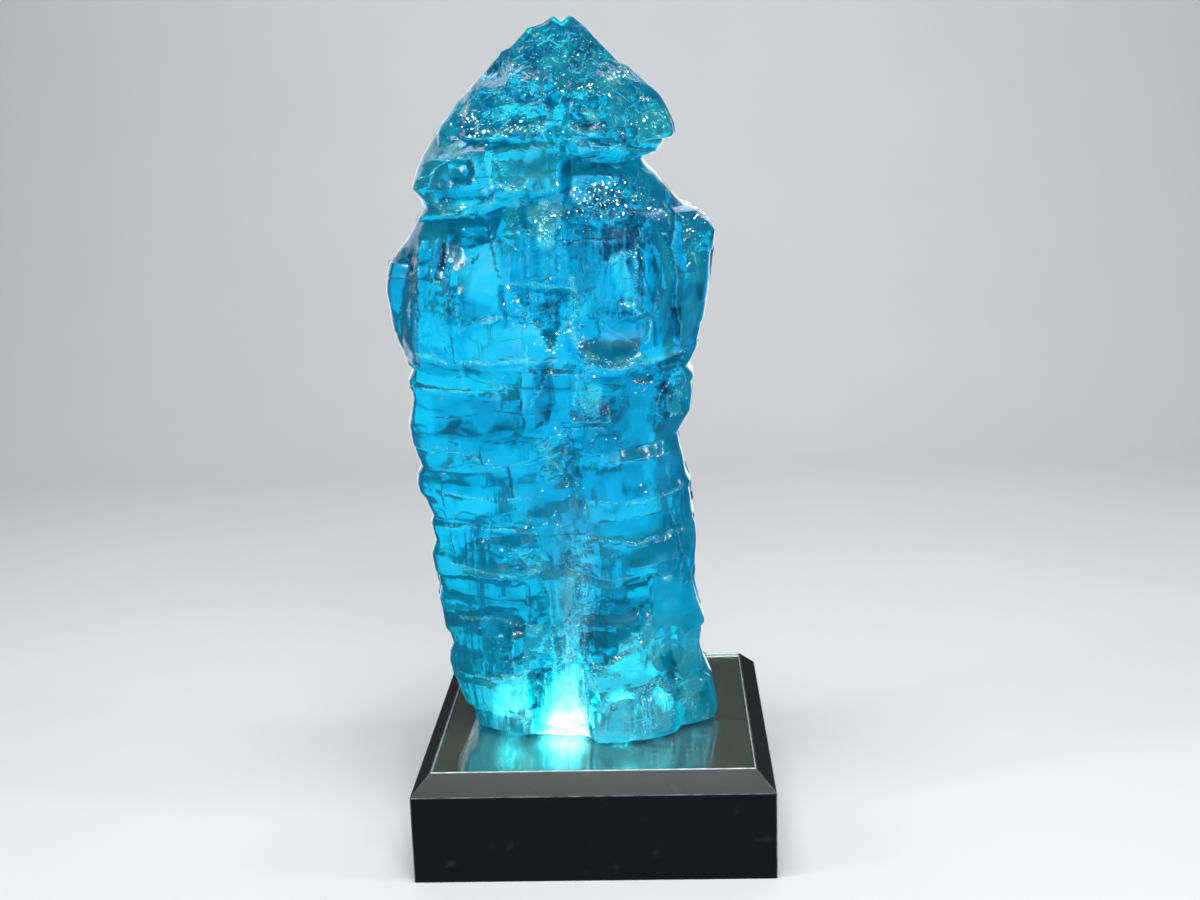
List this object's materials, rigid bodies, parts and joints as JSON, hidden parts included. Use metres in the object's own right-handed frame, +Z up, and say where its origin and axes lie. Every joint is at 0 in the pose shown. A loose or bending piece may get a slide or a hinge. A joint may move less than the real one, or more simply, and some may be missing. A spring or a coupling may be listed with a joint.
{
  "type": "aquamarine crystal on a lit plinth",
  "caption": "Large natural aquamarine crystal standing upright on a black chamfered plinth with a glass top, lit from below by a lamp inside the plinth.",
  "frame": {"origin": "middle of the plinth's underside", "axes": "+Z up along the crystal, -Y to the front of the plinth, +X to the viewer's right"},
  "size_m": [0.2673, 0.254, 0.5893],
  "materials": {
    "aquamarine": "clear blue-green beryl, index 1.575, broken and etched faces with sharp ledges, hollows and fine upright lines",
    "clear_glass": "clear float glass with polished edges",
    "polished_black": "polished black sheet that mirrors the stone",
    "black_lacquer": "satin black lacquer on board, thin bright line along the arrises",
    "lamp_metal": "plain turned aluminium",
    "frosted_lens": "frosted white, lit"
  },
  "bodies": {
    "root": {"crystal": "aquamarine", "glass_plate": "clear_glass", "top_board": "polished_black", "plinth_front": "black_lacquer", "plinth_right": "black_lacquer", "plinth_back": "black_lacquer", "plinth_left": "black_lacquer", "base_board": "black_lacquer", "lamp_housing": "lamp_metal", "lamp_lens": "frosted_lens"}
  },
  "joints": []
}
